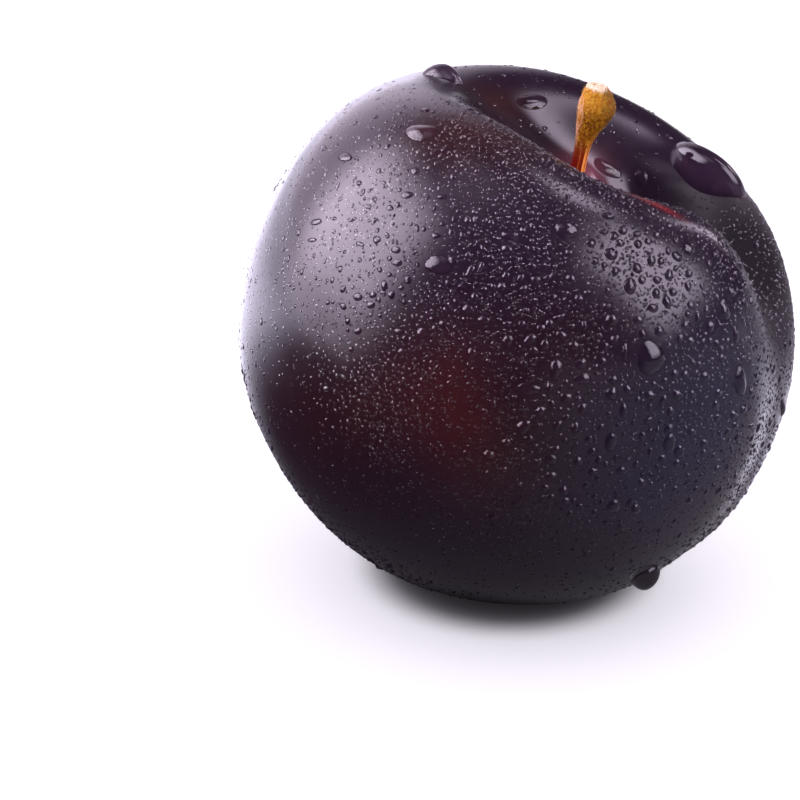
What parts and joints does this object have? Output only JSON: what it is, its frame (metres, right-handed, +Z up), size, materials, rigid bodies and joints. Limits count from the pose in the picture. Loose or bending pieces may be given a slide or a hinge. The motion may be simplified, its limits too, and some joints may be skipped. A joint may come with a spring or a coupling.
{
  "type": "plum",
  "caption": "Ripe black plum with a furrow down one side, a stem hollow and its short woody stem, lying on a small flat spot.",
  "frame": {"origin": "on the small flat spot that the fruit rests on, below the middle of the fruit", "axes": "+Z up from the flat spot, +X the way the stem end leans, -Y the side of the full cheek"},
  "size_m": [0.0618, 0.056, 0.0591],
  "materials": {
    "skin": "waxy blue-black plum skin with a wine-red flush, a thin bloom and water beads",
    "stem": "matt golden-brown woody stem, red-brown at its foot, with a cream scar on top"
  },
  "bodies": {
    "root": {"fruit": "skin", "stem": "stem"}
  },
  "joints": []
}
